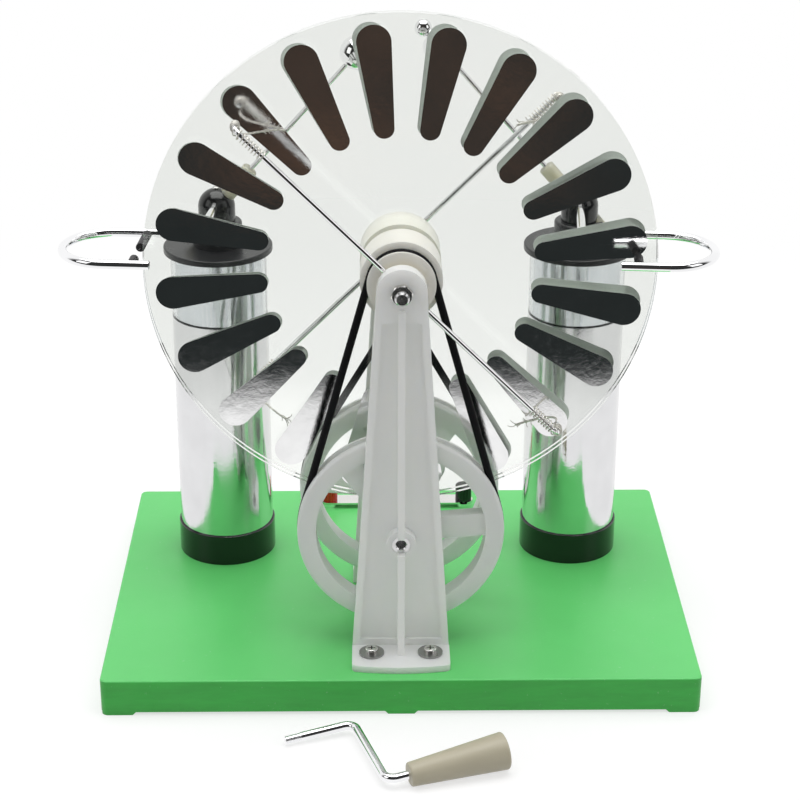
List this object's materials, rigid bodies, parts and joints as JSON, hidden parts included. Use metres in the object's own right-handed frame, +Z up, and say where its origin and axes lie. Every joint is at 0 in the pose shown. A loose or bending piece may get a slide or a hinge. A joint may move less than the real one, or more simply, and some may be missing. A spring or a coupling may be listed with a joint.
{
  "type": "wimshurst machine",
  "caption": "Hand-cranked electrostatic generator with two contra-rotating foil-sector discs, Leyden jars, neutralisers and a ball spark gap on a moulded base.",
  "frame": {"origin": "centre of the base's footprint at table level, 2 mm below the underside of its rim", "axes": "+Z up, +Y away from the crank side, +X to the right as seen from the crank side"},
  "size_m": [0.3611, 0.312, 0.3787],
  "materials": {
    "green_moulding": "satin",
    "brass": "satin",
    "steel_fasteners": "bright",
    "steel_rods": "ground",
    "chrome": "polished",
    "black_plastic": "gloss",
    "red_plastic": "gloss",
    "white_nylon": "translucent satin",
    "ivory_plastic": "satin",
    "clear_acrylic": "polished",
    "foil": "mirror with fine wrinkles",
    "belt_rubber": "matt",
    "brush_wire": "bright",
    "nickel_strip": "bright",
    "handle_plastic": "translucent",
    "grip_plastic": "satin"
  },
  "bodies": {
    "frame": {"axle": "steel_rods", "axle_nuts": "steel_fasteners", "base": "green_moulding", "belt_front": "belt_rubber", "belt_rear": "belt_rubber", "bus_strips": "brass", "collector_fork_left": "chrome", "collector_fork_right": "chrome", "comb_needles": "steel_rods", "comb_sleeves": "black_plastic", "contact_rods": "steel_rods", "disc_spacer": "brass", "foot_screws": "steel_fasteners", "foot_washers": "steel_fasteners", "inner_foils": "foil", "jar_cap_left": "black_plastic", "jar_cap_right": "black_plastic", "jar_glass_left": "clear_acrylic", "jar_glass_right": "clear_acrylic", "jar_seat_screws": "steel_fasteners", "jar_seats": "black_plastic", "knob_left": "black_plastic", "knob_right": "black_plastic", "knob_screws": "steel_fasteners", "outer_foils": "foil", "strip_nuts": "steel_fasteners", "terminal_posts": "chrome", "upright_front": "white_nylon", "upright_rear": "white_nylon"},
    "front_disc": {"disc_front": "clear_acrylic", "sectors_front": "foil", "hub_front": "ivory_plastic", "hub_bush_front": "brass"},
    "rear_disc": {"disc_rear": "clear_acrylic", "sectors_rear": "foil", "hub_rear": "ivory_plastic", "hub_bush_rear": "brass"},
    "drive": {"drive_shaft": "steel_rods", "drive_wheel_front": "white_nylon", "drive_wheel_rear": "white_nylon"},
    "front_neutraliser": {"neutraliser_collar_front": "brass", "neutraliser_rods_front": "chrome", "winding_front_upper": "brush_wire", "winding_front_lower": "brush_wire"},
    "rear_neutraliser": {"neutraliser_collar_rear": "brass", "neutraliser_rods_rear": "chrome", "winding_rear_upper": "brush_wire", "winding_rear_lower": "brush_wire"},
    "left_electrode": {"electrode_rod_left": "chrome", "spark_balls_left": "chrome", "electrode_handle_left": "handle_plastic"},
    "right_electrode": {"electrode_rod_right": "chrome", "spark_balls_right": "chrome", "electrode_handle_right": "handle_plastic"},
    "link": {"link_strip": "nickel_strip"},
    "red_cap": {"terminal_cap_red": "red_plastic"},
    "black_cap": {"terminal_cap_black": "black_plastic"},
    "crank": {"crank_rod": "steel_rods", "crank_retainer": "steel_fasteners"},
    "grip": {"crank_grip": "grip_plastic"}
  },
  "joints": [
    {"name": "front_disc_spin", "type": "hinge", "parent": "frame", "child": "front_disc", "pos_m": [0, -0.043, 0.2387], "axis": [0, 1, 0], "continuous": true},
    {"name": "rear_disc_spin", "type": "hinge", "parent": "frame", "child": "rear_disc", "pos_m": [0, -0.043, 0.2387], "axis": [0, 1, 0], "continuous": true},
    {"name": "drive_spin", "type": "hinge", "parent": "frame", "child": "drive", "pos_m": [0, -0.043, 0.092], "axis": [0, 1, 0], "continuous": true},
    {"name": "front_neutraliser_turn", "type": "hinge", "parent": "frame", "child": "front_neutraliser", "pos_m": [0, -0.043, 0.2387], "axis": [0, 1, 0], "range_deg": [-15, 15]},
    {"name": "rear_neutraliser_turn", "type": "hinge", "parent": "frame", "child": "rear_neutraliser", "pos_m": [0, -0.043, 0.2387], "axis": [0, 1, 0], "range_deg": [-15, 15]},
    {"name": "left_electrode_slide", "type": "slide", "parent": "frame", "child": "left_electrode", "axis": [0.6645, -0.0523, 0.7455], "range_m": [0, 0.012]},
    {"name": "right_electrode_slide", "type": "slide", "parent": "frame", "child": "right_electrode", "axis": [-0.6645, 0.0523, 0.7455], "range_m": [0, 0.012]},
    {"name": "link_swing", "type": "hinge", "parent": "frame", "child": "link", "pos_m": [-0.0435, 0.098, 0.0252], "axis": [0, 0, 1], "range_deg": [0, 90]},
    {"name": "red_cap_turn", "type": "hinge", "parent": "frame", "child": "red_cap", "pos_m": [-0.0435, 0.098, 0.03], "axis": [0, 0, 1], "continuous": true},
    {"name": "black_cap_turn", "type": "hinge", "parent": "frame", "child": "black_cap", "pos_m": [0.0435, 0.098, 0.03], "axis": [0, 0, 1], "continuous": true},
    {"name": "crank_lift", "type": "slide", "parent": "frame", "child": "crank", "axis": [0, 0, 1], "range_m": [0, 0.1]},
    {"name": "grip_turn", "type": "hinge", "parent": "crank", "child": "grip", "pos_m": [-0.04609, -0.2035, 0.0029], "axis": [0.9487, 0.3083, 0.0699], "continuous": true}
  ],
  "couplings": [
    {"joint": "drive_spin", "follows": "front_disc_spin", "ratio": 0.30714},
    {"joint": "rear_disc_spin", "follows": "front_disc_spin", "ratio": -1}
  ]
}
